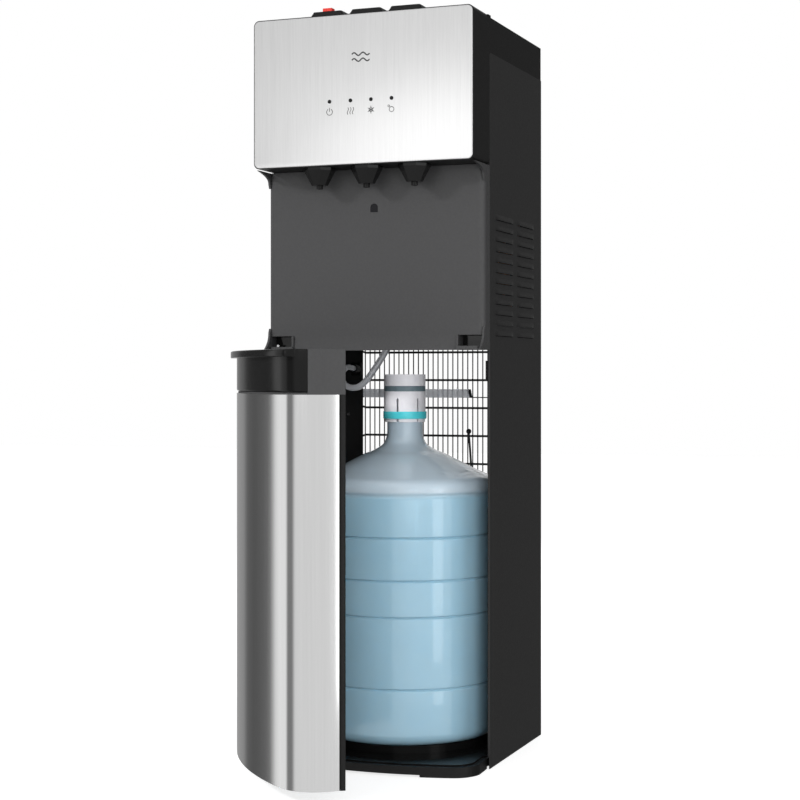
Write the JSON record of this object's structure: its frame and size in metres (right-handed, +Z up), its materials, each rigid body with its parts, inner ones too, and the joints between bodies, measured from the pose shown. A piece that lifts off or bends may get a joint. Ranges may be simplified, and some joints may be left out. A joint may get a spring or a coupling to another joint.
{
  "type": "water dispenser",
  "caption": "Floor-standing bottom-loading hot and cold water dispenser: steel cabinet, stainless front, hinged bottle door with lift-off drip tray, push buttons and a large bottle inside.",
  "frame": {"origin": "on the floor, below the middle of the side panels: centred between them in X and in Y", "axes": "+Z up, -Y to the front where the nozzles and the door are, +X to the dispenser's side away from the door's hinge"},
  "size_m": [0.354, 0.5407, 1.042],
  "materials": {
    "black_plastic": "fine moulded texture",
    "gloss_black": "gloss",
    "nozzle_black": "satin",
    "black_steel": "powder coated, satin",
    "brushed_stainless": "vertical brushing",
    "grey_plastic": "fine moulded texture",
    "grille_grey": "satin",
    "smoked_lens": "polished",
    "circuit_green": "solder mask",
    "bright_steel": "bright zinc",
    "zinc_sheet": "galvanised",
    "tank_steel": "drawn stainless",
    "foam_white": "bead foam",
    "compressor_black": "enamel",
    "rubber_black": "matte",
    "pump_grey": "satin",
    "clear_tube": "clear flexible",
    "copper_tube": "drawn copper",
    "condenser_black": "black enamel",
    "red_plastic": "gloss",
    "blue_plastic": "gloss",
    "white_plastic": "satin",
    "bottle_blue": "clear blue polycarbonate",
    "water": "clear liquid"
  },
  "bodies": {
    "cabinet": {"base_pan": "black_plastic", "levelling_feet": "black_plastic", "bottle_shelf": "gloss_black", "left_side_panel": "black_steel", "right_side_panel": "black_steel", "rear_panel": "black_steel", "rear_bottom_rail": "black_steel", "top_cover": "black_plastic", "head_housing": "black_plastic", "head_front_panel": "brushed_stainless", "indicator_lenses": "gloss_black", "control_board": "circuit_green", "button_guide": "black_plastic", "hot_spring": "bright_steel", "room_spring": "bright_steel", "cold_spring": "bright_steel", "hot_nozzle": "nozzle_black", "room_nozzle": "nozzle_black", "cold_nozzle": "nozzle_black", "splash_panel": "grey_plastic", "night_light_lens": "smoked_lens", "hinge_pockets": "grey_plastic", "hinge_pins": "bright_steel", "deck": "zinc_sheet", "compressor": "compressor_black", "compressor_grommets": "rubber_black", "cold_tank": "tank_steel", "tank_insulation": "foam_white", "hot_tank": "tank_steel", "pump": "pump_grey", "water_lines": "clear_tube", "refrigerant_lines": "copper_tube", "filter_drier": "copper_tube", "condenser_tube": "condenser_black", "condenser_wires": "condenser_black", "condenser_brackets": "condenser_black", "tie_strap": "clear_tube", "process_tube": "condenser_black", "switch_plate": "black_plastic", "cord_gland": "black_plastic", "panel_screws": "bright_steel", "magnet_catch": "black_plastic", "hose_gland": "white_plastic", "hose_holder": "black_plastic", "suction_hose": "clear_tube"},
    "door": {"door_liner": "black_plastic", "door_skin": "brushed_stainless", "door_cap": "grey_plastic"},
    "tray": {"drip_tray": "gloss_black"},
    "grille": {"drip_grille": "grille_grey"},
    "hot_button": {"hot_button": "black_plastic"},
    "room_button": {"room_button": "black_plastic"},
    "cold_button": {"cold_button": "black_plastic"},
    "child_lock": {"child_lock": "red_plastic"},
    "bottle": {"bottle": "bottle_blue", "water": "water", "bottle_cap": "white_plastic"},
    "hot_switch": {"hot_switch": "red_plastic"},
    "cold_switch": {"cold_switch": "blue_plastic"},
    "light_switch": {"light_switch": "black_plastic"}
  },
  "joints": [
    {"name": "door_hinge", "type": "hinge", "parent": "cabinet", "child": "door", "pos_m": [-0.1495, -0.137, 0], "axis": [0, 0, -1], "range_deg": [-50, 60]},
    {"name": "tray_lift", "type": "slide", "parent": "door", "child": "tray", "axis": [0, 0, 1], "range_m": [0, 0.07]},
    {"name": "grille_lift", "type": "slide", "parent": "tray", "child": "grille", "axis": [0, 0, 1], "range_m": [0, 0.05]},
    {"name": "hot_button_press", "type": "slide", "parent": "cabinet", "child": "hot_button", "axis": [0, 0, -1], "range_m": [0, 0.004], "stiffness_N_per_m": 700, "springref_m": -0.002, "deforming": ["hot_spring"]},
    {"name": "room_button_press", "type": "slide", "parent": "cabinet", "child": "room_button", "axis": [0, 0, -1], "range_m": [0, 0.004], "stiffness_N_per_m": 700, "springref_m": -0.002, "deforming": ["room_spring"]},
    {"name": "cold_button_press", "type": "slide", "parent": "cabinet", "child": "cold_button", "axis": [0, 0, -1], "range_m": [0, 0.004], "stiffness_N_per_m": 700, "springref_m": -0.002, "deforming": ["cold_spring"]},
    {"name": "child_lock_slide", "type": "slide", "parent": "hot_button", "child": "child_lock", "axis": [0, 1, 0], "range_m": [0, 0.004], "stiffness_N_per_m": 300, "springref_m": -0.001},
    {"name": "bottle_slide", "type": "slide", "parent": "cabinet", "child": "bottle", "axis": [0, -1, 0], "range_m": [0, 0.065]},
    {"name": "hot_switch_rock", "type": "hinge", "parent": "cabinet", "child": "hot_switch", "pos_m": [-0.024, 0.116, 0.9], "axis": [-1, 0, 0], "range_deg": [0, 16]},
    {"name": "cold_switch_rock", "type": "hinge", "parent": "cabinet", "child": "cold_switch", "pos_m": [0, 0.116, 0.9], "axis": [-1, 0, 0], "range_deg": [0, 16]},
    {"name": "light_switch_rock", "type": "hinge", "parent": "cabinet", "child": "light_switch", "pos_m": [0.024, 0.116, 0.9], "axis": [-1, 0, 0], "range_deg": [0, 16]}
  ]
}
